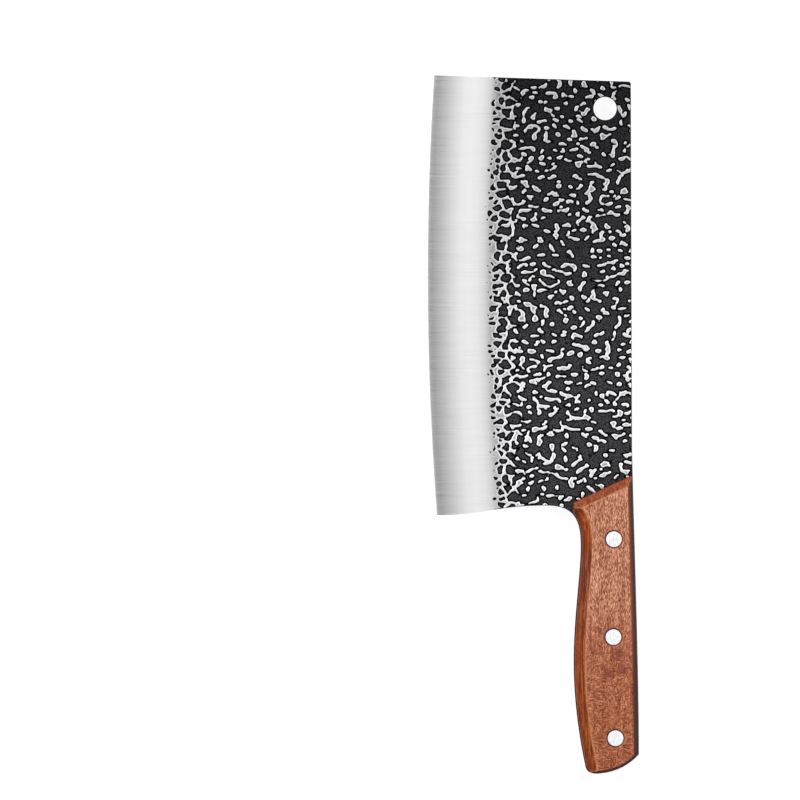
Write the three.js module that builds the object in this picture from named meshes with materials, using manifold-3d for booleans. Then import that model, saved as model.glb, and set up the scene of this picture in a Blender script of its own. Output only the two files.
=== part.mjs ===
// Chinese vegetable cleaver: a hammered full-tang blade, two wooden scales and three two-piece cutlery rivets.
// Millimetres, +Z up. The knife lies on its side: +X runs from the cutting edge to the spine,
// +Y from the butt to the tip, and the origin is under the middle of the footprint.
// The drawing datum is the middle of the spine (x = 0) and the end of the butt (y = 0), on the blade's middle plane
// (z = 0).
import * as THREE from "three";
import { mergeVertices } from "three/addons/utils/BufferGeometryUtils.js";
import Module from "manifold-3d";

// Blade
const OVERALL_LENGTH = 300;
const SPINE_THICKNESS = 2.2;
const TIP_EDGE_REACH = 85.9; // spine line to the tip's cutting corner
const TIP_SLOPE = 2.8; // how far the spine corner of the tip sits behind its cutting corner
const SPINE_LEAN = 0.25; // how far the spine leans in at the tip and out at the handle
const HEEL_EDGE_REACH = 84.6; // spine line to the heel's cutting corner
const HEEL_Y = 111.1;
const EDGE_BELLY = 3.35; // rise of the curved cutting edge over its chord
const GRIND_WIDTH = 28; // bright ground band, from the cutting edge inwards
const SHARPENED_WIDTH = 1; // final sharpened facet
const SHOULDER_THICKNESS = 0.5; // blade thickness where the sharpened facet starts
const APEX_THICKNESS = 0.08;
const EDGE_LAND = 0.06; // blunt land left at the apex
const HANG_HOLE = { x: -11.3, y: 285.7, diameter: 10 };

// Handle
const SCALE_THICKNESS = 9;
const GLUE_LINE = 0.1; // between the tang and each scale
const TANG_PROUD = 0.4; // how far the tang stands out round the scales
const SCALE_FRONT = { lowX: -25, lowY: 116.4, highX: 0.6, highY: 128.4 }; // the slanted front end
const CHAMFERS = {
  belly: { width: 4.7, depth: 3.8 },
  back: { width: 2.6, depth: 2.6 },
  front: { width: 3.5, depth: 3 },
  butt: { width: 1.7, depth: 1.8 },
};

// Rivets: a solid male half pressed into the hollow barrel of a female half
const RIVET_CENTRES = [
  { x: -7.8, y: 100.9 },
  { x: -8, y: 59 },
  { x: -7.1, y: 15.7 },
];
const RIVET_HEAD_DIAMETER = 6.7;
const RIVET_HEAD_THICKNESS = 2;
const RIVET_CROWN = 0.15; // drop from the middle of the head to its rim
const BARREL_DIAMETER = 5;
const BARREL_LENGTH = 13;
const BARREL_BORE = 3.6;
const SHANK_DIAMETER = 3.4;
const SHANK_LENGTH = 14.5;
const HOLE_CLEARANCE = 0.3; // on the diameter of each rivet hole

// Facets: the divisions are those of the outline's curves
const ROUND_SEGMENTS = 28;
const HANG_HOLE_SEGMENTS = 40;
const DIVISIONS = { tip: 1, edge: 24, heel: 14, belly: 72, buttCorner: 6, butt: 20, back: 20, spine: 1 };
const GRIND_FACETS = 7;
const CUTTER_MARGIN = 0.35; // how far a chamfer cutter runs past the chamfer, as a share of its size

const HALF_BLADE = SPINE_THICKNESS / 2;
const SCALE_FACE = HALF_BLADE + GLUE_LINE; // inner face of the upper scale
const HANDLE_FACE = SCALE_FACE + SCALE_THICKNESS; // flat outer face of the upper scale

const wasm = await Module();
wasm.setup();

const STEEL = new THREE.MeshStandardMaterial({ color: 0x6d6e70, roughness: 0.35, metalness: 1 });
const WOOD = new THREE.MeshStandardMaterial({ color: 0xa5623f, roughness: 0.5, metalness: 0 });
const RIVET_STEEL = new THREE.MeshStandardMaterial({ color: 0xe2e4e8, roughness: 0.25, metalness: 1 });

const point = (x, y) => new THREE.Vector2(x, y);

// A closed geometry as a solid that can be joined and cut.
function solid(geometry) {
  const bare = geometry.clone();
  bare.deleteAttribute("normal");
  bare.deleteAttribute("uv");
  const merged = mergeVertices(bare);
  return new wasm.Manifold(
    new wasm.Mesh({
      numProp: 3,
      vertProperties: merged.attributes.position.array,
      triVerts: new Uint32Array(merged.index.array),
    }),
  );
}

function geometryOf(manifold) {
  const mesh = manifold.getMesh();
  const geometry = new THREE.BufferGeometry();
  geometry.setAttribute("position", new THREE.BufferAttribute(mesh.vertProperties, 3));
  geometry.setIndex(new THREE.BufferAttribute(mesh.triVerts, 1));
  geometry.computeVertexNormals();
  return geometry;
}

function namedMesh(name, geometry, material) {
  const mesh = new THREE.Mesh(geometry, material);
  mesh.name = name;
  return mesh;
}

// The parts of the outline, in order from the tip round by the cutting edge and the butt to the spine.
const TIP_EDGE = point(-TIP_EDGE_REACH, OVERALL_LENGTH);
const TIP_BACK = point(-SPINE_LEAN, OVERALL_LENGTH - TIP_SLOPE);
const HEEL_EDGE = point(-HEEL_EDGE_REACH, HEEL_Y);
const HEEL_INNER = point(-37, 115.2); // where the heel turns into the choil
const CHOIL_END = point(-21.7, 98.2); // narrowest place of the grip
const PALM_SWELL = point(-24.75, 48);
const BUTT_FRONT = point(-19.6, 2.6);
const BUTT_LOW = point(-14.8, 0);
const BUTT_BACK = point(3.2, 8.3);
const SPINE_START = point(SPINE_LEAN, 140);

// Curves that run on smoothly from one another, as one.
function joined(...curves) {
  const path = new THREE.CurvePath();
  path.curves.push(...curves);
  return path;
}

const edgeChordMiddle = TIP_EDGE.clone().add(HEEL_EDGE).multiplyScalar(0.5);
const CURVES = {
  tip: new THREE.LineCurve(TIP_BACK, TIP_EDGE),
  edge: new THREE.QuadraticBezierCurve(
    TIP_EDGE,
    point(edgeChordMiddle.x - 2 * EDGE_BELLY, edgeChordMiddle.y),
    HEEL_EDGE,
  ),
  heel: new THREE.CubicBezierCurve(HEEL_EDGE, point(-66, HEEL_Y - 0.5), point(-58, HEEL_INNER.y), HEEL_INNER),
  belly: joined(
    new THREE.CubicBezierCurve(HEEL_INNER, point(-26.6, HEEL_INNER.y), point(CHOIL_END.x, 111.6), CHOIL_END),
    new THREE.CubicBezierCurve(CHOIL_END, point(CHOIL_END.x, 86), point(PALM_SWELL.x, 68), PALM_SWELL),
    new THREE.CubicBezierCurve(PALM_SWELL, point(PALM_SWELL.x, 31), point(-22.3, 15), BUTT_FRONT),
  ),
  buttCorner: new THREE.QuadraticBezierCurve(BUTT_FRONT, point(-18.8, 0), BUTT_LOW),
  butt: new THREE.QuadraticBezierCurve(BUTT_LOW, point(-4, 0.6), BUTT_BACK),
  back: new THREE.CubicBezierCurve(BUTT_BACK, point(BUTT_BACK.x, 45), point(1.35, 95), SPINE_START),
  spine: new THREE.LineCurve(SPINE_START, TIP_BACK),
};

// Points along curves that meet end to end, each curve evenly divided, with the first and the last point.
function stations(...names) {
  const runs = names.map((name) => CURVES[name].getSpacedPoints(DIVISIONS[name]));
  return [...runs.flatMap((run) => run.slice(0, -1)), runs.at(-1).at(-1)];
}

// The closed outline of the blade and tang.
const OUTLINE = stations(...Object.keys(CURVES)).slice(0, -1);

// A counter-clockwise loop moved inwards, with mitred corners.
function insetLoop(points, distance) {
  const count = points.length;
  const inward = points.map((p, i) => {
    const along = points[(i + 1) % count].clone().sub(p).normalize();
    return point(-along.y, along.x);
  });
  return points.map((p, i) => {
    const before = inward[(i + count - 1) % count];
    const after = inward[i];
    const mitre = before.clone().add(after).divideScalar(1 + before.dot(after));
    return p.clone().addScaledVector(mitre, distance);
  });
}

// An outline drawn in plan, made solid between two heights.
function slab(shape, low, high) {
  const geometry = new THREE.ExtrudeGeometry(shape, { depth: high - low, bevelEnabled: false });
  return solid(geometry.translate(0, 0, low));
}

// A solid turned from a profile of [radius, height] points that starts and ends on the axis.
function turned(profile) {
  const geometry = new THREE.LatheGeometry(profile.map(([r, z]) => point(r, z)), ROUND_SEGMENTS);
  return geometry.rotateX(Math.PI / 2);
}

// A smooth path whose even steps fall on its own points, so that what is swept along it lines up with the outline.
class StationPath extends THREE.CatmullRomCurve3 {
  getUtoTmapping(share) {
    return share;
  }
}

// A solid of one section swept along points in plan and a little past both ends. A section point is
// [inboard, up]: inboard is to the left of the direction of travel, and up is measured from the given height.
function swept(line, height, section) {
  const points = line.map((p) => new THREE.Vector3(p.x, p.y, height));
  const pastEnd = (inner, end) => end.clone().multiplyScalar(2).sub(inner);
  const path = new StationPath([
    pastEnd(points[1], points[0]),
    ...points,
    pastEnd(points.at(-2), points.at(-1)),
  ]);
  const shape = new THREE.Shape(section.map(([inboard, up]) => point(-up, inboard)));
  const settings = { steps: path.points.length - 1, extrudePath: path, bevelEnabled: false };
  return solid(new THREE.ExtrudeGeometry(shape, settings));
}

// Half the blade's thickness at a distance inboard of the cutting edge: a sharpened facet, then a convex grind.
function halfThickness(inboard) {
  const shoulder = SHOULDER_THICKNESS / 2;
  const left = (GRIND_WIDTH - inboard) / (GRIND_WIDTH - SHARPENED_WIDTH);
  return HALF_BLADE - (HALF_BLADE - shoulder) * left * left;
}

// What the grindstone takes off one side (+1 upper, -1 lower) of the blank.
function grindCutter(side) {
  const overrun = 2;
  const section = [[-overrun, APEX_THICKNESS / 2], [EDGE_LAND, APEX_THICKNESS / 2]];
  for (let i = 0; i <= GRIND_FACETS; i++) {
    const inboard = SHARPENED_WIDTH + ((GRIND_WIDTH - SHARPENED_WIDTH) * i) / GRIND_FACETS;
    section.push([inboard, halfThickness(inboard)]);
  }
  section.push([GRIND_WIDTH, HALF_BLADE + overrun], [-overrun, HALF_BLADE + overrun]);
  return swept(stations("edge"), 0, section.map(([inboard, up]) => [inboard, side * up]));
}

function circleHole(x, y, diameter, segments) {
  const ring = new THREE.EllipseCurve(x, y, diameter / 2, diameter / 2).getPoints(segments).slice(0, -1);
  return new THREE.Path(ring);
}

function bladeGeometry() {
  const shape = new THREE.Shape(OUTLINE);
  shape.holes.push(circleHole(HANG_HOLE.x, HANG_HOLE.y, HANG_HOLE.diameter, HANG_HOLE_SEGMENTS));
  for (const { x, y } of RIVET_CENTRES)
    shape.holes.push(circleHole(x, y, BARREL_DIAMETER + HOLE_CLEARANCE, ROUND_SEGMENTS));
  const blank = slab(shape, -HALF_BLADE, HALF_BLADE);
  return geometryOf(blank.subtract(grindCutter(1)).subtract(grindCutter(-1)));
}

// A wedge that takes a chamfer off the upper edge of a scale along a stretch of its outline.
function chamferCutter(line, { width, depth }) {
  const past = 1 + CUTTER_MARGIN;
  return swept(line, HANDLE_FACE, [
    [width * past, depth * CUTTER_MARGIN],
    [-width * CUTTER_MARGIN, -depth * past],
    [-width * CUTTER_MARGIN, depth * CUTTER_MARGIN],
  ]);
}

// The upper scale: the tang's outline drawn in a little, cut off at the slanted front, chamfered and counterbored.
function scaleGeometry() {
  const { lowX, lowY, highX, highY } = SCALE_FRONT;
  const reach = 10;
  const window = new THREE.Shape([
    point(lowX, lowY),
    point(lowX, CHOIL_END.y),
    point(lowX - reach, CHOIL_END.y),
    point(lowX - reach, -reach),
    point(highX + reach, -reach),
    point(highX + reach, highY + (reach * (highY - lowY)) / (highX - lowX)),
  ]);
  const outline = insetLoop(OUTLINE, TANG_PROUD);
  let scale = slab(new THREE.Shape(outline), SCALE_FACE, HANDLE_FACE);
  scale = scale.intersect(slab(window, SCALE_FACE - reach, HANDLE_FACE + reach));

  const edges = [
    [[point(highX, highY), point(lowX, lowY)], CHAMFERS.front],
    [stations("belly"), CHAMFERS.belly],
    [stations("buttCorner", "butt"), CHAMFERS.butt],
    [stations("back"), CHAMFERS.back],
  ];
  for (const [line, chamfer] of edges) scale = scale.subtract(chamferCutter(line, chamfer));

  const headRadius = (RIVET_HEAD_DIAMETER + HOLE_CLEARANCE) / 2;
  const barrelRadius = (BARREL_DIAMETER + HOLE_CLEARANCE) / 2;
  const seat = HANDLE_FACE - RIVET_HEAD_THICKNESS - HOLE_CLEARANCE;
  for (const { x, y } of RIVET_CENTRES) {
    const bore = turned([[0, 0], [barrelRadius, 0], [barrelRadius, seat], [headRadius, seat],
      [headRadius, HANDLE_FACE + reach], [0, HANDLE_FACE + reach]]);
    scale = scale.subtract(solid(bore.translate(x, y, 0)));
  }
  return geometryOf(scale);
}

// Rivet halves are drawn with the head's outer face up, its crown at z = 0.
function maleRivetGeometry() {
  const head = RIVET_HEAD_DIAMETER / 2;
  const shank = SHANK_DIAMETER / 2;
  const end = -RIVET_HEAD_THICKNESS - SHANK_LENGTH;
  const lead = 0.5; // chamfer that starts the shank into the barrel
  return turned([[0, end], [shank - lead, end], [shank, end + lead], [shank, -RIVET_HEAD_THICKNESS],
    [head, -RIVET_HEAD_THICKNESS], ...crown(head)]);
}

function femaleRivetGeometry() {
  const head = RIVET_HEAD_DIAMETER / 2;
  const barrel = BARREL_DIAMETER / 2;
  const bore = BARREL_BORE / 2;
  const end = -RIVET_HEAD_THICKNESS - BARREL_LENGTH;
  const floor = -RIVET_HEAD_THICKNESS;
  return turned([[0, floor], [bore, floor], [bore, end], [barrel, end], [barrel, -RIVET_HEAD_THICKNESS],
    [head, -RIVET_HEAD_THICKNESS], ...crown(head)]);
}

// The shallow dome of a rivet head, from its rim to the axis.
function crown(radius) {
  return [1, 0.8, 0.5, 0].map((share) => [radius * share, -RIVET_CROWN * share * share]);
}

const knife = new THREE.Group();
knife.add(namedMesh("blade", bladeGeometry(), STEEL));

const scale = scaleGeometry();
const upperScale = namedMesh("upper_scale", scale, WOOD);
const lowerScale = namedMesh("lower_scale", scale, WOOD);
lowerScale.scale.z = -1;
knife.add(upperScale, lowerScale);

const RIVET_NAMES = ["front", "middle", "butt"];
RIVET_CENTRES.forEach(({ x, y }, i) => {
  const male = namedMesh(`${RIVET_NAMES[i]}_rivet_male`, maleRivetGeometry(), RIVET_STEEL);
  male.position.set(x, y, HANDLE_FACE);
  const female = namedMesh(`${RIVET_NAMES[i]}_rivet_female`, femaleRivetGeometry(), RIVET_STEEL);
  female.position.set(x, y, -HANDLE_FACE);
  female.rotation.x = Math.PI;
  knife.add(male, female);
});

// The origin goes under the middle of the footprint, on the surface that the handle lies on.
const box = new THREE.Box3().setFromObject(knife);
const middle = box.getCenter(new THREE.Vector3());
knife.position.set(-middle.x, -middle.y, -box.min.z);

const part = new THREE.Group();
part.add(knife);
export default part;
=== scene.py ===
"""Dresses the vegetable knife: hammered and ground steel, oiled wood, polished rivets and a white studio."""

import math

import bmesh
import bpy
import numpy as np
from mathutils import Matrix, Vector, kdtree
from mathutils.geometry import delaunay_2d_cdt


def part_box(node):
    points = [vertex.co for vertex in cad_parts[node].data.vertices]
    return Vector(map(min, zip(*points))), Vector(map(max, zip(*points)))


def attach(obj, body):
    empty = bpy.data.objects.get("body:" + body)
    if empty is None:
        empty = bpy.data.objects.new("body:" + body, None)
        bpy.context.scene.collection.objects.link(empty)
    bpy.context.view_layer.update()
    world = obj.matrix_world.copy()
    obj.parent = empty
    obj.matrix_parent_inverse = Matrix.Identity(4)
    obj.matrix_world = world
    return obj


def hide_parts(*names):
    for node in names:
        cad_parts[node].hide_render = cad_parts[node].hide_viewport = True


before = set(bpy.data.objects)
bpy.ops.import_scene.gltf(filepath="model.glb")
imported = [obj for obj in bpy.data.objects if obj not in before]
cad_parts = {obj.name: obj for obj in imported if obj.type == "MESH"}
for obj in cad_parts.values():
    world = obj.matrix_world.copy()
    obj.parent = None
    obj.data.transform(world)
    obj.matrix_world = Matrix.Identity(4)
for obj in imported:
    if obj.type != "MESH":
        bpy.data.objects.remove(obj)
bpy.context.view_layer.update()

MM = 0.001

# Places are given as on the knife's drawing, in millimetres from the spine line and the end of the butt.
BACK_REACH = 3.2  # how far the handle stands out behind the spine line
blade_low, blade_high = (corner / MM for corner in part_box("blade"))
DATUM = (blade_high.x - BACK_REACH, blade_low.y)


def placed(x, y):
    """A place on the drawing as a place in the frame, both in millimetres."""
    return (DATUM[0] + x, DATUM[1] + y)


# The photograph's view
VIEW_WIDTH = 343.5
VIEW_CENTRE = placed(-99.37, 160.5)
CAMERA_HEIGHT = 3000.0
SENSOR_WIDTH = 36.0
FLOOR_GAP = 0.1  # keeps the floor clear of the handle's flat face

# The blade, as the CAD has it
BLADE_MIDDLE_Z = (blade_low.z + blade_high.z) / 2
HALF_BLADE = (blade_high.z - blade_low.z) / 2
HALF_SHOULDER = 0.25
HALF_APEX = 0.04
GRIND_WIDTH = 28.0
SHARPENED_WIDTH = 1.0
EDGE_TIP = placed(-85.9, 300.0)
EDGE_CONTROL = placed(-91.95, 205.55)
EDGE_HEEL = placed(-84.6, 111.1)
EDGE_LEAN = 0.998  # cosine of the edge's lean near its ends
TIP_BACK = placed(-0.25, 297.2)
TIP_CORNER_RADIUS = 1.1

# The slanted front end of the scales
FRONT_LOW = placed(-25.0, 116.4)
FRONT_SLOPE = 0.469

# What the scales cover of the tang, across the blade
COVERED_FROM, COVERED_TO = DATUM[0] - 21.2, DATUM[0] - 0.9
COVER_MARGIN = 3.0

# The hammered relief. What fades in or out does so between two distances from the cutting edge.
RAISED = 0.06
SUNK = 0.13
RELIEF_FADE_IN = (24.0, 28.5)
MARK_SLOPE = (0.2, 0.7)  # where the raised share starts and stops to lift the surface
MARK_EDGE = 0.29  # how softly the raised share passes over the edge of a mark
EASED_EDGE = 0.14  # how far the outline of the hammered part is eased down
EASING_FADE_IN = (23.0, 28.0)
DARK_RIM = -0.6  # so low that the marks stop just short of the outline
DARK_RIM_FROM = 26.0
GROWTH_ROUNDS = 14  # enough to regrow a mark from its thick part
SHARP_ANGLE = 40
TOP_SEED = 2
UNDER_SEED = 15

# Strands, which lie along lines that wind across the blade
STRAND_PITCH = 5.6
STRAND_STRETCH = 2.0
STRAND_HALF_WIDTH = 0.27
STRAND_SWELL = 0.46  # how much that half width changes along a strand
DOT_PITCH = 2.6
DOT_LEVEL = 1.7  # the higher, the fewer dots between the strands
STRANDS_FADE_OUT = (40.0, 33.5)

# The net of pits beside the ground band. Each row has its distance from the cutting edge and its spacing.
PIT_ROWS = (
    (25.1, 1.9), (27.0, 2.2), (29.4, 2.9), (32.6, 3.8), (36.6, 4.8), (41.6, 5.6), (47.2, 6.0), (53.0, 6.0)
)
PITS_APART = 0.7  # least distance between two pits, as a share of the spacing
PIT_REACH = 9.0
PIT_FLATTENING = 1.15
WALL_PLACES = (25.0, 26.7, 28.2, 30.0, 33.5, 40.0)  # where the walls between the pits have these widths
WALL_WIDTHS = (3.0, 1.2, 0.85, 0.76, 0.68, 0.5)
NET_START = 25.0
NET_FADE_OUT = (38.0, 46.0)

# Spacing of the points that carry the relief, and the distances from the cutting edge where it changes
TOP_SPACING = 0.44
UNDER_SPACING = 0.58
LEVEL_SPACING = 1.1
BEVEL_SPACING = 1.7
TANG_SPACING = 3.0
OUTLINE_SPACING = 0.6
BEVEL_FROM, BEVEL_TO = 1.9, 23.2
HAMMERED_FROM = 23.5
LOWEST_SLOPE, HIGHEST_SLOPE = 0.002, 0.998  # raised shares between which the relief slopes
FINE_RIM = 1.3  # how far in from the outline the points are fine
RIM_CLEARANCE = 0.5

# Dark stains on the flat of the handle
STAINS = ((-6.1, 51.9), (-10.5, 42.9), (-3.1, 44.8))
STAIN_RADIUS = 4.0

# The dark ring round each rivet, and how the scales are sanded
RING_INNER, RING_OUTER = 3.5, 4.1
SANDED_VOXEL = 0.5
SANDED_ROUNDS = 5


class Graph:
    """A material's node tree, with short calls for the nodes used here."""

    def __init__(self, name):
        self.material = bpy.data.materials.new(name)
        self.material.use_nodes = True
        self.tree = self.material.node_tree
        self.tree.nodes.clear()
        output = self.tree.nodes.new("ShaderNodeOutputMaterial")
        self.shader = self.tree.nodes.new("ShaderNodeBsdfPrincipled")
        self.link(self.shader.outputs[0], output.inputs["Surface"])

    def link(self, source, target):
        self.tree.links.new(source, target)

    def put(self, value, socket):
        """A link for another node's output, or a plain value on the socket itself."""
        if isinstance(value, bpy.types.NodeSocket):
            self.link(value, socket)
        else:
            socket.default_value = value

    def coordinates(self, output="Object"):
        return self.tree.nodes.new("ShaderNodeTexCoord").outputs[output]

    def attribute(self, name):
        node = self.tree.nodes.new("ShaderNodeAttribute")
        node.attribute_name = name
        return node.outputs["Fac"]

    def scaled(self, vector, scale):
        node = self.tree.nodes.new("ShaderNodeMapping")
        self.link(vector, node.inputs["Vector"])
        node.inputs["Scale"].default_value = scale
        return node.outputs[0]

    def drawing(self):
        """The place on the drawing, in millimetres."""
        node = self.tree.nodes.new("ShaderNodeMapping")
        self.link(self.coordinates(), node.inputs["Vector"])
        node.inputs["Scale"].default_value = (1 / MM, 1 / MM, 1 / MM)
        node.inputs["Location"].default_value = (-DATUM[0], -DATUM[1], 0.0)
        return node.outputs[0]

    def parts(self, vector):
        node = self.tree.nodes.new("ShaderNodeSeparateXYZ")
        self.link(vector, node.inputs[0])
        return node.outputs

    def noise(self, vector, scale=1.0, detail=2.0, roughness=0.5, distortion=0.0):
        node = self.tree.nodes.new("ShaderNodeTexNoise")
        self.link(vector, node.inputs["Vector"])
        node.inputs["Scale"].default_value = scale
        node.inputs["Detail"].default_value = detail
        node.inputs["Roughness"].default_value = roughness
        node.inputs["Distortion"].default_value = distortion
        return node.outputs["Fac"]

    def cells(self, vector):
        """A random value from 0 to 1 in each of many small cells."""
        node = self.tree.nodes.new("ShaderNodeTexVoronoi")
        node.inputs["Scale"].default_value = 1.0
        self.link(vector, node.inputs["Vector"])
        return self.parts(node.outputs["Color"])[0]

    def math(self, operation, first, second=None):
        node = self.tree.nodes.new("ShaderNodeMath")
        node.operation = operation
        self.put(first, node.inputs[0])
        if second is not None:
            self.put(second, node.inputs[1])
        return node.outputs[0]

    def span(self, value, low, high, to_low=0.0, to_high=1.0, smooth=False):
        """value from low..high to to_low..to_high, held at the ends."""
        node = self.tree.nodes.new("ShaderNodeMapRange")
        node.interpolation_type = "SMOOTHSTEP" if smooth else "LINEAR"
        self.link(value, node.inputs["Value"])
        node.inputs["From Min"].default_value = low
        node.inputs["From Max"].default_value = high
        node.inputs["To Min"].default_value = to_low
        node.inputs["To Max"].default_value = to_high
        return node.outputs["Result"]

    def ramp(self, value, stops):
        """A colour ramp of (position, colour) stops, colours as linear red, green and blue."""
        node = self.tree.nodes.new("ShaderNodeValToRGB")
        self.link(value, node.inputs[0])
        elements = node.color_ramp.elements
        while len(elements) < len(stops):
            elements.new(0.5)
        for element, (position, colour) in zip(elements, stops):
            element.position = position
            element.color = (*colour, 1.0)
        return node.outputs["Color"]

    def mix(self, share, first, second):
        """A colour part of the way from one colour to another."""
        node = self.tree.nodes.new("ShaderNodeMix")
        node.data_type = "RGBA"
        self.put(share, node.inputs[0])
        self.put(first, node.inputs[6])
        self.put(second, node.inputs[7])
        return node.outputs[2]

    def between(self, share, first, second):
        """A plain value part of the way from one value to another."""
        node = self.tree.nodes.new("ShaderNodeMix")
        self.put(share, node.inputs[0])
        self.put(first, node.inputs[2])
        self.put(second, node.inputs[3])
        return node.outputs[0]

    def distance(self, vector, place):
        node = self.tree.nodes.new("ShaderNodeVectorMath")
        node.operation = "DISTANCE"
        self.link(vector, node.inputs[0])
        node.inputs[1].default_value = place
        return node.outputs["Value"]

    def bump(self, height, strength, distance):
        node = self.tree.nodes.new("ShaderNodeBump")
        node.inputs["Strength"].default_value = strength
        node.inputs["Distance"].default_value = distance
        self.link(height, node.inputs["Height"])
        self.link(node.outputs[0], self.shader.inputs["Normal"])

    def set(self, **values):
        """Shader inputs by name, with _ for a space."""
        for name, value in values.items():
            self.put(value, self.shader.inputs[name.replace("_", " ")])
        return self.material


def srgb(red, green, blue):
    """A colour given as 0 to 255 screen values, made linear."""
    return tuple(c / 3294.6 if c <= 10.31 else ((c / 255 + 0.055) / 1.055) ** 2.4 for c in (red, green, blue))


def rgba(red, green, blue):
    """The same with full opacity."""
    return (*srgb(red, green, blue), 1.0)


# Materials

def forge_scale(g, place, raised, edge, grain, tip_shade):
    """Colour of the hollows: black scale, greyer in the pits; painted shade makes it blackest round each mark
    and by the handle, and darker towards the tip.
    """
    deep = g.ramp(grain, [(0.4, srgb(24, 24, 26)), (0.6, srgb(78, 78, 80))])
    # Painted shade: the black scale darkens towards the tip.
    deep = g.mix(tip_shade, deep, g.ramp(grain, [(0.4, srgb(7, 7, 8)), (0.6, srgb(44, 44, 46))]))
    patches = g.noise(place, 0.75, 2.0, 0.5)
    pit_floor = g.ramp(patches, [(0.4, srgb(12, 12, 13)), (0.62, srgb(86, 86, 87))])
    deep = g.mix(g.span(edge, 33.0, 26.0, smooth=True), deep, pit_floor)
    # Painted shade: a near-black ring at the foot of each mark.
    colour = g.mix(g.span(raised, 0.002, 0.042, smooth=True), deep, rgba(5, 5, 6))
    # Painted shade: the blade darkens next to the handle's scales.
    painted_shade_by_handle = g.span(g.parts(place)[1], 112.0, 106.0)
    return g.mix(painted_shade_by_handle, colour, rgba(14, 13, 13))


def mark_steel(g, raised, edge, grain, tip_shade):
    """Colour of the marks: a painted highlight on the rim round a greyer middle, and painted shade dimming
    them towards the tip.
    """
    middle = g.ramp(grain, [(0.34, srgb(140, 141, 143)), (0.66, srgb(184, 185, 187))])
    # Painted highlight: the rim of each mark is brighter than its middle.
    rim = g.mix(g.span(edge, 27.0, 36.0), rgba(198, 198, 199), rgba(220, 220, 222))
    colour = g.mix(g.span(raised, 0.88, 0.985, smooth=True), rim, middle)
    # Painted shade: the marks dim towards the tip.
    return g.mix(g.math("MULTIPLY", tip_shade, 0.42), colour, rgba(0, 0, 0))


def ground_band(g, edge, lines):
    """Colour of the ground band from the sharpened facet inwards: a painted reflection, with fine lines
    across it.
    """
    # Painted reflection: bright on the sharpened facet, dark just behind it, brightest part way in, then
    # falling again.
    band = g.ramp(
        g.span(edge, 0.0, 32.0),
        [
            (0.0, srgb(226, 226, 226)),
            (0.03, srgb(222, 222, 222)),
            (0.045, srgb(146, 146, 146)),
            (0.1, srgb(143, 143, 143)),
            (0.144, srgb(154, 154, 154)),
            (0.225, srgb(172, 172, 172)),
            (0.344, srgb(197, 197, 197)),
            (0.466, srgb(215, 215, 215)),
            (0.588, srgb(220, 220, 220)),
            (0.706, srgb(214, 214, 214)),
            (0.788, srgb(199, 199, 199)),
            (0.87, srgb(168, 168, 168)),
            (1.0, srgb(150, 150, 151)),
        ],
    )
    return g.mix(g.span(lines, 0.35, 0.65, 0.0, 0.07), band, rgba(255, 255, 255))


def blade_material():
    """Black forge scale in the hollows, bright steel on the raised marks and on the ground band."""
    g = Graph("blade_steel")
    place = g.drawing()
    raised = g.attribute("raised")
    edge = g.attribute("edge_distance")
    grain = g.noise(place, 1.6, 3.0, 0.6)
    lines = g.noise(g.scaled(place, (0.03, 2.6, 1.0)), 1.0, 3.0, 0.6)
    # How far towards the tip, which sets the painted shade there.
    tip_shade = g.span(g.parts(place)[1], 165.0, 295.0)

    upright = g.math("ABSOLUTE", g.parts(g.coordinates("Normal"))[2])
    face = g.math("MAXIMUM", g.span(upright, 0.35, 0.6), g.span(edge, 20.0, 26.0, 1.0, 0.0))
    bright = g.math("MULTIPLY", g.span(raised, 0.4, 0.5, smooth=True), face)

    marks = mark_steel(g, raised, edge, grain, tip_shade)
    steel = g.mix(g.span(edge, 26.0, 30.0, smooth=True), ground_band(g, edge, lines), marks)
    colour = g.mix(bright, forge_scale(g, place, raised, edge, grain, tip_shade), steel)
    roughness = g.math("ADD", g.span(bright, 0.0, 1.0, 0.5, 0.3), g.span(lines, 0.3, 0.7, -0.03, 0.04))
    g.bump(grain, 0.25, 0.0001)
    return g.set(Base_Color=colour, Metallic=bright, Roughness=roughness, Specular_IOR_Level=0.015)


def wood_figure(g, place, fleck, low_half):
    """Small flecks, which lie across the handle in patches of its lower half, over long streaks."""
    cross_fleck = g.cells(g.scaled(place, (0.85, 3.7, 1.0)))
    patch = g.span(g.noise(g.scaled(place, (0.4, 0.3, 0.4)), 1.0, 1.0, 0.5), 0.46, 0.54)
    woven = g.between(g.math("MULTIPLY", patch, low_half), fleck, cross_fleck)
    streak = g.noise(g.scaled(place, (0.6, 0.03, 0.4)), 1.0, 3.0, 0.55, 0.5)
    return g.between(0.45, woven, streak)


def wood_flat(g, level_place, figure, low_half):
    """Colour of the sanded flats, with a few dark stains."""
    upper = g.ramp(
        figure, [(0.22, srgb(112, 50, 32)), (0.5, srgb(178, 108, 80)), (0.78, srgb(236, 180, 146))]
    )
    lower = g.ramp(
        figure, [(0.22, srgb(106, 42, 26)), (0.5, srgb(160, 87, 58)), (0.78, srgb(212, 143, 105))]
    )
    colour = g.mix(low_half, upper, lower)
    for stain in STAINS:
        away = g.distance(level_place, (*stain, 0.0))
        colour = g.mix(g.span(away, 0.0, STAIN_RADIUS, 0.65, 0.0, smooth=True), colour, rgba(112, 54, 46))
    return colour


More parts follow.
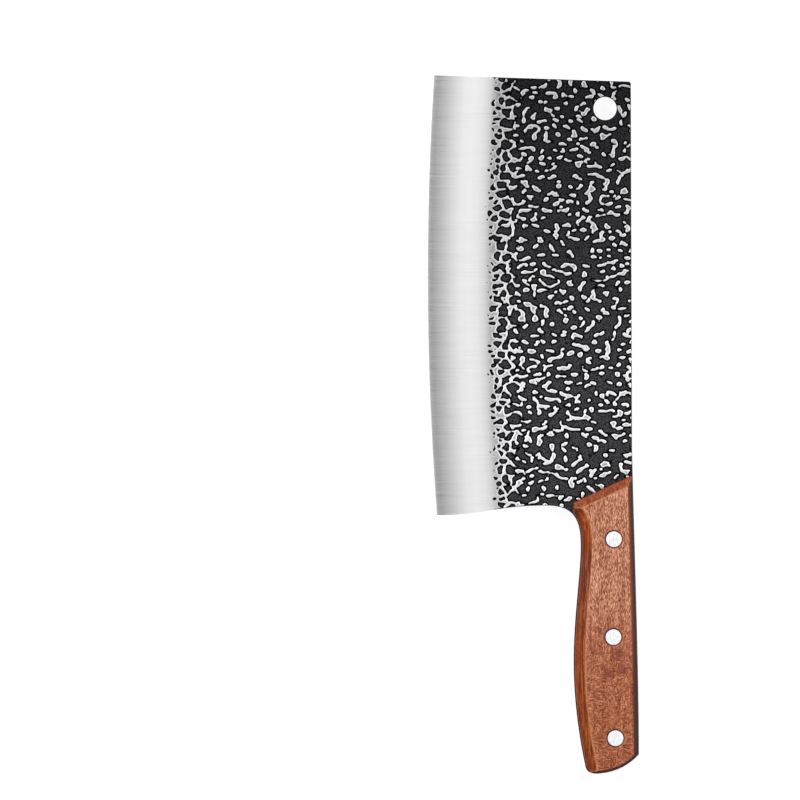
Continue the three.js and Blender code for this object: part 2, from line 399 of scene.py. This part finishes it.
def wood_belly(g, y, depth, long_grain):
    """Colour of the belly chamfer: orange, redder about the middle, with painted shade further down."""
    orange = g.ramp(
        long_grain, [(0.4, srgb(112, 42, 13)), (0.5, srgb(150, 67, 24)), (0.6, srgb(184, 96, 43))]
    )
    red = g.ramp(long_grain, [(0.4, srgb(96, 32, 15)), (0.5, srgb(130, 54, 27)), (0.6, srgb(168, 90, 56))])
    reddened = g.math("MULTIPLY", g.span(y, 58.0, 72.0), g.span(y, 100.0, 92.0))
    colour = g.mix(reddened, orange, red)
    # Painted shade: the chamfer darkens further below the flat.
    return g.mix(g.span(depth, 1.2, 4.0, 0.0, 0.5), colour, rgba(74, 30, 22))


def wood_back(g, y, depth, long_grain):
    """Colour of the back chamfer: painted shade darkens it quickly further down; it also darkens towards the
    butt.
    """
    # Painted shade: the chamfer darkens with depth below the flat.
    colour = g.ramp(
        g.span(depth, 0.0, 2.8),
        [
            (0.0, srgb(160, 88, 55)),
            (0.3, srgb(116, 62, 41)),
            (0.65, srgb(70, 41, 34)),
            (1.0, srgb(40, 26, 25)),
        ],
    )
    colour = g.mix(g.span(long_grain, 0.35, 0.65, 0.0, 0.3), colour, rgba(70, 34, 24))
    return g.mix(g.span(y, 72.0, 36.0, 0.0, 0.5), colour, rgba(48, 27, 25))


def wood_material(rivet_centres):
    """Oiled reddish hardwood: flecked flats, chamfers with long grain, painted shade and sheen by facing, a
    painted highlight at the belly's top edge.
    """
    g = Graph("handle_wood")
    place = g.drawing()
    level_place = g.scaled(place, (1, 1, 0))
    y, z = g.parts(place)[1], g.parts(place)[2]
    depth = g.math("SUBTRACT", BLADE_MIDDLE_Z, g.math("ABSOLUTE", g.math("SUBTRACT", z, BLADE_MIDDLE_Z)))
    normal = g.parts(g.coordinates("Normal"))
    level = g.math("ABSOLUTE", normal[2])
    low_half = g.span(y, 80.0, 38.0, smooth=True)

    fleck = g.cells(g.scaled(place, (4.8, 0.95, 1.0)))
    long_grain = g.between(0.12, g.noise(g.scaled(place, (1.3, 0.06, 1.1)), 1.0, 3.0, 0.6), fleck)
    figure = wood_figure(g, place, fleck, low_half)

    # Colour by facing: the chamfers' and ends' darker tones are painted shade, the flats' lighter tone a
    # painted sheen.
    belly = wood_belly(g, y, depth, long_grain)
    back = wood_back(g, y, depth, long_grain)
    end = g.ramp(figure, [(0.25, srgb(118, 50, 27)), (0.5, srgb(148, 73, 42)), (0.75, srgb(176, 98, 62))])
    side = g.mix(g.span(normal[0], -0.2, 0.3), belly, back)
    side = g.mix(g.span(normal[1], 0.25, 0.5), side, end)
    side = g.mix(g.span(normal[1], -0.25, -0.5), side, rgba(66, 30, 22))
    flat = wood_flat(g, level_place, figure, low_half)
    colour = g.mix(g.span(level, 0.84, 0.98, smooth=True), side, flat)

    # Painted highlight along the edge between the flat and the belly chamfer.
    arris_highlight = g.math("MULTIPLY", g.span(level, 0.8, 0.93), g.span(level, 0.999, 0.97))
    arris_highlight = g.math("MULTIPLY", arris_highlight, g.span(y, 110.0, 40.0, 0.25, 0.45))
    belly_arris_highlight = g.math("MULTIPLY", arris_highlight, g.span(normal[0], -0.02, -0.12))
    colour = g.mix(belly_arris_highlight, colour, rgba(210, 146, 98))

    for centre in rivet_centres:
        away = g.distance(level_place, (*centre, 0.0))
        colour = g.mix(g.span(away, RING_INNER, RING_OUTER, 0.8, 0.0), colour, rgba(64, 28, 20))

    roughness = g.span(figure, 0.25, 0.75, 0.5, 0.4)
    g.bump(figure, 0.1, 0.0002)
    return g.set(Base_Color=colour, Roughness=roughness, Specular_IOR_Level=0.14)


def rivet_material():
    """Polished steel with faint turning marks."""
    g = Graph("rivet_steel")
    place = g.drawing()
    marks = g.noise(g.scaled(place, (2.2, 0.6, 0.5)), 1.0, 3.0, 0.6)
    colour = g.ramp(marks, [(0.3, srgb(212, 213, 219)), (0.65, srgb(250, 250, 252))])
    roughness = g.span(marks, 0.3, 0.7, 0.24, 0.36)
    return g.set(Base_Color=colour, Metallic=1.0, Roughness=roughness)


def floor_material():
    """A sweep topped up to white for the camera and for reflections, which still takes the shadow."""
    g = Graph("studio_floor")
    place = g.coordinates()
    tone = g.ramp(g.noise(place, 3.0, 2.0, 0.5), [(0.3, (0.25, 0.25, 0.25)), (0.7, (0.26, 0.26, 0.26))])
    path = g.tree.nodes.new("ShaderNodeLightPath")
    seen = g.math("MAXIMUM", path.outputs["Is Camera Ray"], path.outputs["Is Glossy Ray"])
    seen = g.math("MAXIMUM", seen, path.outputs["Is Transmission Ray"])
    g.set(Base_Color=tone, Roughness=0.9, Specular_IOR_Level=0.0)
    return g.set(Emission_Color=rgba(255, 255, 255), Emission_Strength=g.math("MULTIPLY", seen, 0.88))


# The blade

def edge_x(y):
    """x of the cutting edge at a height y, both in millimetres, run on straight past its ends."""
    t = np.linspace(-0.05, 1.05, 400)
    corners = zip(EDGE_TIP, EDGE_CONTROL, EDGE_HEEL)
    across, along = [(1 - t) ** 2 * a + 2 * t * (1 - t) * b + t**2 * c for a, b, c in corners]
    return np.interp(y, along[::-1], across[::-1])


def edge_distance(x, y):
    """Distance from the cutting edge, near enough square to it."""
    return (x - edge_x(y)) * EDGE_LEAN


def half_thickness(distance):
    """Half the blade's thickness behind the cutting edge: a sharpened facet, a convex grind, then flat."""
    left = np.clip((GRIND_WIDTH - distance) / (GRIND_WIDTH - SHARPENED_WIDTH), 0, 1)
    ground = HALF_BLADE - (HALF_BLADE - HALF_SHOULDER) * left**2
    sharpened = HALF_APEX + (HALF_SHOULDER - HALF_APEX) * np.clip(distance / SHARPENED_WIDTH, 0, 1)
    return np.where(distance < SHARPENED_WIDTH, sharpened, ground)


class Sheet:
    """Random patterns on a fine grid over the blade's plan, in millimetres."""

    LOW = (blade_low.x - 6.0, EDGE_HEEL[1] - 21.0)
    STEP = 0.25
    SIZE = (864, 420)

    def __init__(self, seed):
        self.rng = np.random.default_rng(seed)
        rows, columns = np.indices(self.SIZE)
        self.x = self.LOW[0] + self.STEP * columns
        self.y = self.LOW[1] + self.STEP * rows
        self.up = np.fft.fftfreq(self.SIZE[0], self.STEP)[:, None]
        self.along = np.fft.rfftfreq(self.SIZE[1], self.STEP)[None, :]

    def filtered(self, values, share):
        return np.fft.irfft2(np.fft.rfft2(values) * share, self.SIZE)

    def noise(self, pitch, spread=0.5, stretch=1.0):
        """Smooth noise of one pitch, drawn out along x, with deviation 1."""
        band = np.exp(-(((np.hypot(self.along * stretch, self.up) * pitch - 1) / spread) ** 2))
        smooth = self.filtered(self.rng.standard_normal(self.SIZE), band)
        return smooth / smooth.std()

    def shifted(self, values, amount, pitch):
        """The pattern with its places moved about a little, so that its spacing isn't even."""
        return self.read(values, self.x + amount * self.noise(pitch), self.y + amount * self.noise(pitch))

    def blurred(self, values, deviation):
        return self.filtered(values, np.exp(-2 * (np.pi * deviation * np.hypot(self.along, self.up)) ** 2))

    def read(self, values, x, y):
        column = np.clip((x - self.LOW[0]) / self.STEP, 0, self.SIZE[1] - 1.001)
        row = np.clip((y - self.LOW[1]) / self.STEP, 0, self.SIZE[0] - 1.001)
        c, r = column.astype(int), row.astype(int)
        u, v = column - c, row - r
        near = values[r, c] * (1 - u) + values[r, c + 1] * u
        far = values[r + 1, c] * (1 - u) + values[r + 1, c + 1] * u
        return near * (1 - v) + far * v


def smoothstep(value, low, high):
    t = np.clip((value - low) / (high - low), 0, 1)
    return t * t * (3 - 2 * t)


def front_y(x):
    """y of the slanted front end of the scales."""
    return FRONT_LOW[1] + (x - FRONT_LOW[0]) * FRONT_SLOPE


def pit_centres(rng):
    """The pits as (x, y, size), in rows along the cutting edge, with none crowding another."""
    centres = []
    for distance, spacing in PIT_ROWS:
        y = EDGE_HEEL[1] - 6.0 + rng.uniform(0, spacing)
        while y < EDGE_TIP[1] + 2.0:
            x = edge_x(y) + distance + rng.uniform(-0.5, 0.5) * spacing
            size = rng.uniform(0.8, 1.25)
            if all(math.dist((x, y), other[:2]) > PITS_APART * spacing for other in centres):
                centres.append((x, y, size))
            y += spacing * rng.uniform(0.55, 1.2)
    return centres


def pit_walls(sheet):
    """How far each place of the sheet is from the wall between its two nearest pits: 0 on the wall."""
    nearest = np.full(sheet.SIZE, 99.0)
    second = nearest.copy()
    reach = int(PIT_REACH / sheet.STEP)
    for x, y, size in pit_centres(sheet.rng):
        column = int((x - sheet.LOW[0]) / sheet.STEP)
        row = int((y - sheet.LOW[1]) / sheet.STEP)
        window = np.s_[max(row - reach, 0) : row + reach, max(column - reach, 0) : column + reach]
        gap = np.hypot(sheet.x[window] - x, (sheet.y[window] - y) * PIT_FLATTENING) / size
        second[window] = np.clip(gap, nearest[window], second[window])
        nearest[window] = np.minimum(nearest[window], gap)
    return second - nearest


def strand_gap(sheet):
    """How far each place of the sheet is from the nearest of many winding lines, in millimetres."""
    level = sheet.noise(STRAND_PITCH, 0.3, STRAND_STRETCH)
    along_y, along_x = np.gradient(level, sheet.STEP)
    return np.abs(level) / np.maximum(np.hypot(along_y, along_x), 0.12)


def broken_strands(sheet, distance, wander):
    """A field that is above 0 on the strands and on the dots between them."""
    half_width = STRAND_HALF_WIDTH + STRAND_SWELL * sheet.noise(3.6, 0.4, 1.2)
    strands = half_width - sheet.shifted(strand_gap(sheet), 0.3, 5.0)
    dots = 0.6 * (sheet.noise(DOT_PITCH, 0.45, 1.4) - DOT_LEVEL)
    return np.maximum(strands, dots) - 1.5 * smoothstep(distance + 2.0 * wander, *STRANDS_FADE_OUT)


def pit_net(sheet, distance, wander):
    """A field that is above 0 on the walls between the pits."""
    wall_width = np.interp(distance + 0.6 * wander, WALL_PLACES, WALL_WIDTHS)
    walls = 0.9 * (wall_width - sheet.shifted(pit_walls(sheet), 0.25, 4.0)) + 0.15 * sheet.noise(5.0, 0.6)
    return walls - 2.0 * smoothstep(distance + 2.6 * wander, *NET_FADE_OUT)


def without_specks(sheet, marked):
    """The marks regrown from their thick parts, so that those without one are left out."""
    kept = sheet.blurred(marked.astype(float), 0.4) > 0.62
    for _ in range(GROWTH_ROUNDS):
        kept = (sheet.blurred(kept.astype(float), 0.3) > 0.08) & marked
    return kept


def hammer_marks(seed):
    """A sheet, and the raised share of each place: 0 in a hollow, 1 on a mark, between them at its edge."""
    sheet = Sheet(seed)
    distance = edge_distance(sheet.x, sheet.y)
    wander = sheet.noise(8.0, 0.6)
    rise = np.maximum(broken_strands(sheet, distance, wander), pit_net(sheet, distance, wander))
    rise = sheet.blurred(rise + 0.11 * sheet.noise(1.5, 0.5), 0.14)
    marked = (rise > 0) | (distance < NET_START)
    marked &= sheet.y > front_y(sheet.x) - 0.5
    return sheet, sheet.blurred(without_specks(sheet, marked).astype(float), MARK_EDGE)


def outline_loops(node):
    """Closed loops of plan points, in millimetres, round the top of a CAD node, the outline first."""
    mesh = bmesh.new()
    mesh.from_mesh(node.data)
    bmesh.ops.remove_doubles(mesh, verts=mesh.verts, dist=1e-6)
    mesh.normal_update()
    rim = {}
    for edge in mesh.edges:
        upward = [face for face in edge.link_faces if face.normal.z > 0.5]
        if len(upward) == 1 and len(edge.link_faces) == 2:
            for loop in upward[0].loops:
                if loop.edge == edge:
                    rim[loop.vert] = loop.link_loop_next.vert
    loops = []
    while rim:
        start, following = next(iter(rim.items()))
        loop = [start]
        while following != start:
            loop.append(following)
            following = rim[following]
        for vert in loop:
            del rim[vert]
        points = [(vert.co.x / MM, vert.co.y / MM) for vert in loop]
        pairs = zip(points, points[-1:] + points[:-1])
        loops.append([point for point, before in pairs if math.dist(point, before) > 0.05])
    mesh.free()
    round_loops = [loop for loop in loops if min(np.ptp(np.array(loop), axis=0)) > 3.0]
    return sorted(round_loops, key=lambda loop: np.ptp(np.array(loop)), reverse=True)


def rounded(loop, corner, radius):
    """A closed loop with the corner nearest to a place rounded off."""
    nearest = min(range(len(loop)), key=lambda i: math.dist(loop[i], corner))
    middle = np.array(loop[nearest])
    ends = []
    for neighbour in (loop[nearest - 1], loop[(nearest + 1) % len(loop)]):
        away = np.array(neighbour) - middle
        ends.append(middle + away * radius / np.linalg.norm(away))
    steps = np.linspace(0, 1, 7)[:, None]
    curve = (1 - steps) ** 2 * ends[0] + 2 * steps * (1 - steps) * middle + steps**2 * ends[1]
    return loop[:nearest] + [tuple(point) for point in curve] + loop[nearest + 1 :]


def divided(loop, spacing):
    """A closed loop with its long sides split."""
    points = []
    for first, second in zip(loop, loop[1:] + loop[:1]):
        a, b = np.array(first), np.array(second)
        count = max(1, math.ceil(np.linalg.norm(b - a) / spacing))
        points += [tuple(a + (b - a) * i / count) for i in range(count)]
    return points


def lattice(low, high, spacing):
    """Points of a triangular grid over a box."""
    rows = np.arange(low[1], high[1], spacing * 0.866)
    columns = np.arange(low[0], high[0], spacing)
    x, y = np.meshgrid(columns, rows)
    x = x + (np.arange(len(rows)) % 2)[:, None] * spacing / 2
    return np.column_stack([x.ravel(), y.ravel()])


def inside(points, loops):
    """Which points lie inside the outline and outside its holes."""
    result = np.zeros(len(points), bool)
    x, y = points[:, 0], points[:, 1]
    for loop in loops:
        corners = np.array(loop)
        for (ax, ay), (bx, by) in zip(corners, np.roll(corners, -1, axis=0)):
            if ay != by:
                crosses = ((ay > y) != (by > y)) & (x < (bx - ax) * (y - ay) / (by - ay) + ax)
                result ^= crosses
    return result


def under_scale(points):
    """Which points of the tang the scales cover, with a margin, so no fine relief is needed there."""
    x, y = points[:, 0], points[:, 1]
    return (y < front_y(x) - COVER_MARGIN) & (x > COVERED_FROM) & (x < COVERED_TO)


def rim_finder(rim):
    """A function that gives the distance of each of some points from the nearest point of the rim."""
    tree = kdtree.KDTree(len(rim))
    for i, (x, y) in enumerate(rim):
        tree.insert((x, y, 0), i)
    tree.balance()
    return lambda points: np.array([tree.find((x, y, 0))[2] for x, y in points])


def inner_points(loops, rim, spacing, sheet, marks):
    """Points inside the outline: fine where the relief slopes, coarser elsewhere, one row along the edge."""
    to_rim = rim_finder(rim)
    low, high = np.min(rim, axis=0), np.max(rim, axis=0)

    def hammered_points(step, sloping):
        """Points of the hammered part where the relief slopes or the outline is near, or the others."""
        points = lattice(low, high, step)
        points = points[(edge_distance(*points.T) > HAMMERED_FROM) & ~under_scale(points)]
        points = points[inside(points, loops)]
        raised = sheet.read(marks, *points.T)
        gap = to_rim(points)
        slopes = (raised > LOWEST_SLOPE) & (raised < HIGHEST_SLOPE) | (gap < FINE_RIM)
        return points[(slopes == sloping) & (gap > 0.62 * min(step, 0.8))]

    def plain_points(step, in_zone):
        """Points of a zone without relief."""
        points = lattice(low, high, step)
        points = points[inside(points, loops)]
        points = points[in_zone(points)]
        return points[to_rim(points) > RIM_CLEARANCE]

    def on_bevel(points):
        distance = edge_distance(*points.T)
        return (distance < BEVEL_TO) & (distance > BEVEL_FROM)

    along = np.arange(EDGE_HEEL[1] + 0.8, EDGE_TIP[1] - 0.5, OUTLINE_SPACING)
    return [
        hammered_points(spacing, True),
        hammered_points(LEVEL_SPACING, False),
        plain_points(BEVEL_SPACING, on_bevel),
        plain_points(TANG_SPACING, under_scale),
        np.column_stack([edge_x(along) + SHARPENED_WIDTH, along]),
    ]


def loop_sides(loops):
    """The sides of all loops, as pairs of numbers of points counted through one loop after the other."""
    sides = []
    start = 0
    for loop in loops:
        count = len(loop)
        sides += [(start + i, start + (i + 1) % count) for i in range(count)]
        start += count
    return sides


def plan_mesh(loops, spacing, sheet, marks):
    """Points and triangles that fill the outline. The loops' own points come first."""
    rim = [point for loop in loops for point in loop]
    points = np.vstack([np.array(rim), *inner_points(loops, rim, spacing, sheet, marks)])
    filled = delaunay_2d_cdt([Vector(p) for p in points], loop_sides(loops), [], 1, 1e-7)
    verts, _, faces, origins, _, _ = filled
    verts = np.array([tuple(v) for v in verts])

    order = np.full(len(verts), -1)
    for i, origin in enumerate(origins):
        if origin and origin[0] < len(rim):
            order[i] = origin[0]
    others = np.flatnonzero(order < 0)
    order[others] = len(rim) + np.arange(len(others))
    sorted_verts = np.empty_like(verts)
    sorted_verts[order] = verts

    hole_number = np.zeros(len(verts), int)
    start = len(loops[0])
    for number, loop in enumerate(loops[1:], 1):
        hole_number[start : start + len(loop)] = number
        start += len(loop)
    faces = order[np.array(faces)]
    numbers = hole_number[faces]
    in_hole = (numbers[:, 0] > 0) & (numbers == numbers[:, :1]).all(axis=1)
    return sorted_verts, faces[~in_hole]


def blade_side(loops, sign, spacing, seed):
    """Points, triangles, raised shares and edge distances of the upper or the lower side."""
    sheet, marks = hammer_marks(seed)
    plan, faces = plan_mesh(loops, spacing, sheet, marks)
    raised = sheet.read(marks, *plan.T)
    distance = edge_distance(*plan.T)
    height = half_thickness(distance)
    step = smoothstep(raised, *MARK_SLOPE)
    fade = smoothstep(distance, *RELIEF_FADE_IN)
    height = height + fade * (RAISED * step - SUNK * (1 - step))
    rim = np.arange(len(plan)) < sum(len(loop) for loop in loops)
    height = height - EASED_EDGE * smoothstep(distance, *EASING_FADE_IN) * rim
    raised = np.where(rim & (distance > DARK_RIM_FROM), DARK_RIM, raised)
    points = np.column_stack([plan, BLADE_MIDDLE_Z + sign * height])
    if sign < 0:
        faces = faces[:, ::-1]
    return points, faces, raised, distance


def add_attribute(mesh, name, values):
    attribute = mesh.attributes.new(name, "FLOAT", "POINT")
    attribute.data.foreach_set("value", values.astype(np.float32))


def build_blade(node):
    """One closed mesh of the blade and tang, hammered on both sides."""
    outline, *holes = outline_loops(node)
    outline = rounded(outline, TIP_BACK, TIP_CORNER_RADIUS)
    loops = [divided(loop, OUTLINE_SPACING) for loop in (outline, *holes)]
    top = blade_side(loops, 1, TOP_SPACING, TOP_SEED)
    under = blade_side(loops, -1, UNDER_SPACING, UNDER_SEED)

    offset = len(top[0])
    points = np.vstack([top[0], under[0]]) * MM
    walls = [(b, a, offset + a, offset + b) for a, b in loop_sides(loops)]
    mesh = bpy.data.meshes.new("hammered_blade")
    mesh.from_pydata(points.tolist(), [], [*top[1].tolist(), *(under[1] + offset).tolist(), *walls])
    mesh.validate()
    mesh.shade_smooth()
    mesh.set_sharp_from_angle(angle=math.radians(SHARP_ANGLE))
    add_attribute(mesh, "raised", np.concatenate([top[2], under[2]]))
    add_attribute(mesh, "edge_distance", np.concatenate([top[3], under[3]]))
    piece = bpy.data.objects.new("hammered_blade", mesh)
    bpy.context.scene.collection.objects.link(piece)
    return piece


# Handle

def soften(node):
    """Rounds the arrises of a wooden scale as sanding does."""
    remesh = node.modifiers.new("even_mesh", "REMESH")
    remesh.mode = "VOXEL"
    remesh.voxel_size = SANDED_VOXEL * MM
    remesh.use_smooth_shade = True
    smooth = node.modifiers.new("sanded", "SMOOTH")
    smooth.factor = 0.5
    smooth.iterations = SANDED_ROUNDS


def dress(node, material):
    node.data.materials.clear()
    node.data.materials.append(material)


# Studio

def make_floor():
    half = 3.0
    z = -FLOOR_GAP * MM
    mesh = bpy.data.meshes.new("floor")
    corners = [(-half, -half, z), (half, -half, z), (half, half, z), (-half, half, z)]
    mesh.from_pydata(corners, [], [(0, 1, 2, 3)])
    mesh.materials.append(floor_material())
    floor = bpy.data.objects.new("floor", mesh)
    bpy.context.scene.collection.objects.link(floor)


def make_softbox(name, place, target, size, power):
    light = bpy.data.lights.new(name, "AREA")
    light.shape = "RECTANGLE"
    light.size, light.size_y = size
    light.energy = power
    lamp = bpy.data.objects.new(name, light)
    lamp.location = place
    lamp.rotation_euler = (Vector(target) - Vector(place)).to_track_quat("-Z", "Y").to_euler()
    bpy.context.scene.collection.objects.link(lamp)


def make_world():
    """Even light, white to the camera and to reflections and dimmer as fill."""
    world = bpy.data.worlds.new("studio")
    bpy.context.scene.world = world
    world.use_nodes = True
    tree = world.node_tree
    background = tree.nodes["Background"]
    background.inputs["Color"].default_value = (1.0, 1.0, 1.0, 1.0)
    path = tree.nodes.new("ShaderNodeLightPath")
    seen = path.outputs["Is Camera Ray"]
    for output in ("Is Glossy Ray", "Is Transmission Ray"):
        either = tree.nodes.new("ShaderNodeMath")
        either.operation = "MAXIMUM"
        tree.links.new(seen, either.inputs[0])
        tree.links.new(path.outputs[output], either.inputs[1])
        seen = either.outputs[0]
    strength = tree.nodes.new("ShaderNodeMapRange")
    tree.links.new(seen, strength.inputs["Value"])
    strength.inputs["To Min"].default_value = 0.42
    strength.inputs["To Max"].default_value = 1.0
    tree.links.new(strength.outputs["Result"], background.inputs["Strength"])


def make_lights():
    target = (0.0, 0.0, 0.01)
    make_softbox("left_softbox", (-0.95, 0.25, 1.0), target, (0.7, 1.1), 7.6)
    make_softbox("right_softbox", (0.95, 0.1, 1.0), target, (0.7, 1.1), 5.0)
    make_softbox("top_softbox", (-0.15, 1.0, 1.0), target, (1.1, 0.7), 6.0)


def make_camera():
    data = bpy.data.cameras.new("camera")
    data.sensor_width = SENSOR_WIDTH
    data.lens = SENSOR_WIDTH * (CAMERA_HEIGHT - BLADE_MIDDLE_Z - HALF_BLADE) / VIEW_WIDTH
    data.clip_end = 20.0
    camera = bpy.data.objects.new("camera", data)
    camera.location = (VIEW_CENTRE[0] * MM, VIEW_CENTRE[1] * MM, CAMERA_HEIGHT * MM)
    bpy.context.scene.collection.objects.link(camera)
    bpy.context.scene.camera = camera


def build():
    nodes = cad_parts
    make_camera()
    make_world()
    make_lights()
    make_floor()

    blade = build_blade(nodes["blade"])
    dress(blade, blade_material())
    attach(blade, "root")
    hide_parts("blade")

    centres = []
    for name in ("front_rivet_male", "middle_rivet_male", "butt_rivet_male"):
        low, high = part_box(name)
        centres.append(((low.x + high.x) / 2 / MM - DATUM[0], (low.y + high.y) / 2 / MM - DATUM[1]))
    wood = wood_material(centres)
    for name in ("upper_scale", "lower_scale"):
        soften(nodes[name])
        dress(nodes[name], wood)

    steel = rivet_material()
    for name, node in nodes.items():
        if "rivet" in name:
            dress(node, steel)


build()
bpy.context.scene.view_settings.view_transform = "Standard"
